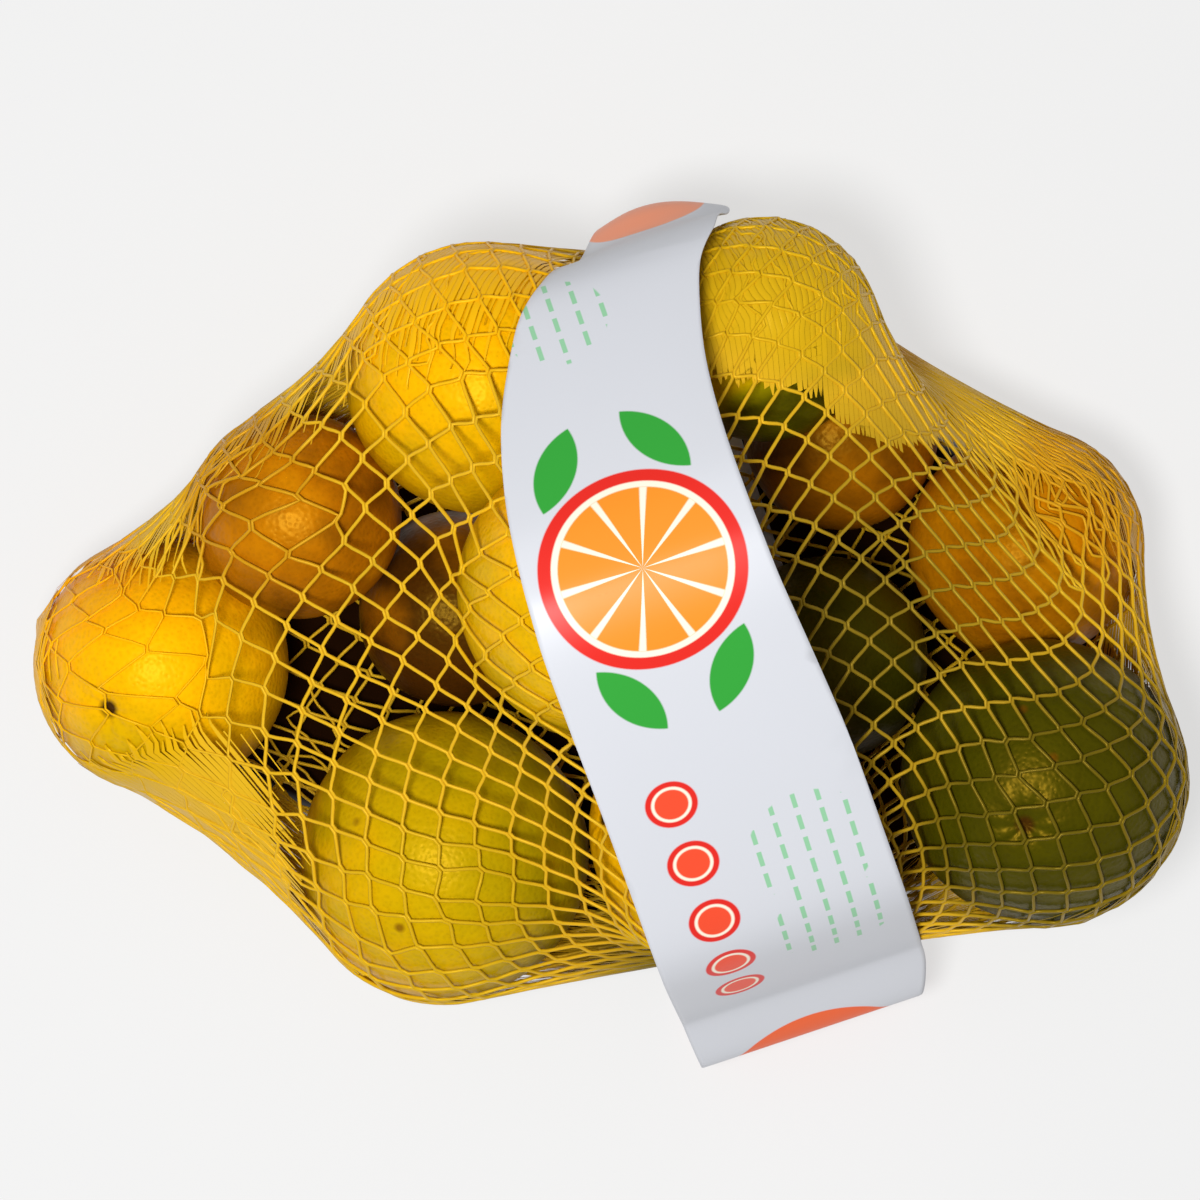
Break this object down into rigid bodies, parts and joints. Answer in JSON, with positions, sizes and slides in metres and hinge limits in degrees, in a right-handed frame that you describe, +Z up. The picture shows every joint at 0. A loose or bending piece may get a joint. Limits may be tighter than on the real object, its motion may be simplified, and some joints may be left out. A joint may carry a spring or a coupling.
{
  "type": "net of oranges",
  "caption": "Heap of oranges in a stretched tubular net, gathered in a metal clip at both ends, with a loose white film label band round it.",
  "frame": {"origin": "on the floor, under the middle of the bounding box", "axes": "+X to the right along the heap's longest way, +Y to the far side where the far clip is, +Z up"},
  "size_m": [0.2956, 0.2244, 0.1309],
  "materials": {
    "net": "Soft yellow plastic netting pressed on orange peel",
    "film": "Satin white printed film",
    "clip": "Plain crimped metal"
  },
  "bodies": {
    "root": {"net": "net", "band": "film", "far_clip": "clip", "near_clip": "clip"}
  },
  "joints": []
}
